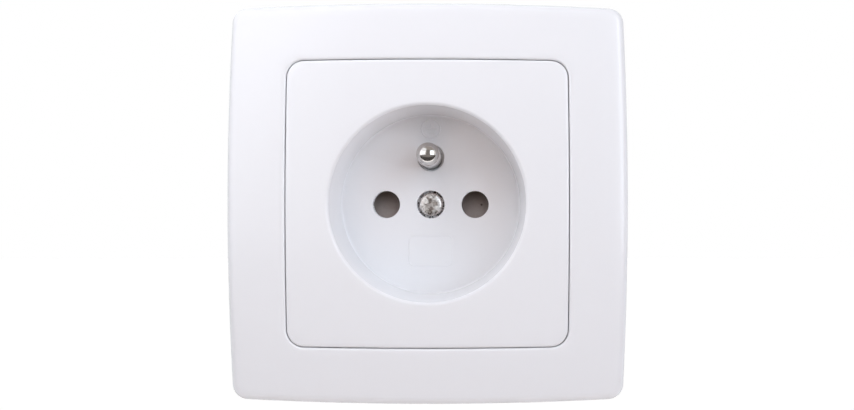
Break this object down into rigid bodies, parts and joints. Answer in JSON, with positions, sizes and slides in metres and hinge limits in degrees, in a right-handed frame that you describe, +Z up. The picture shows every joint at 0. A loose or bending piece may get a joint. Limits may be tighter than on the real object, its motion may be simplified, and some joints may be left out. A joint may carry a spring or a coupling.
{
  "type": "wall socket",
  "caption": "White square wall socket with a bowed frame, a round plug recess, an earth pin and sprung shutters behind the pin holes, on a steel plate with a round contact base.",
  "frame": {"origin": "on the socket's axis in the wall plane, midway between the two box screws", "axes": "+X right seen from the front, +Y into the wall, +Z up"},
  "size_m": [0.0808, 0.0411, 0.0808],
  "materials": {
    "white_gloss": "glossy moulded",
    "white_matte": "moulded",
    "grey_brown_plastic": "moulded",
    "grey_moulding": "moulded",
    "zinc_steel": "zinc plated",
    "spring_steel": "drawn",
    "nickel": "nickel plated, polished",
    "brass": "rolled strip"
  },
  "bodies": {
    "socket": {"cover_frame": "white_gloss", "socket_insert": "white_gloss", "cover_screw": "nickel", "cover_nut": "zinc_steel", "shutter_spring": "spring_steel", "shutter_retainer": "white_matte", "retainer_screws": "zinc_steel", "mounting_plate": "zinc_steel", "base_body": "grey_moulding", "contact_cover": "grey_moulding", "live_contact": "brass", "neutral_contact": "brass", "live_contact_spring": "spring_steel", "neutral_contact_spring": "spring_steel", "earth_pin": "nickel", "earth_strap": "brass", "terminal_screws": "zinc_steel", "terminal_clamps": "zinc_steel"},
    "shutter_slider": {"shutter": "grey_brown_plastic"}
  },
  "joints": [
    {"name": "shutter_slide", "type": "slide", "parent": "socket", "child": "shutter_slider", "axis": [0, 0, -1], "range_m": [0, 0.0064], "stiffness_N_per_m": 150, "springref_m": -0.004, "deforming": ["shutter_spring"]}
  ]
}
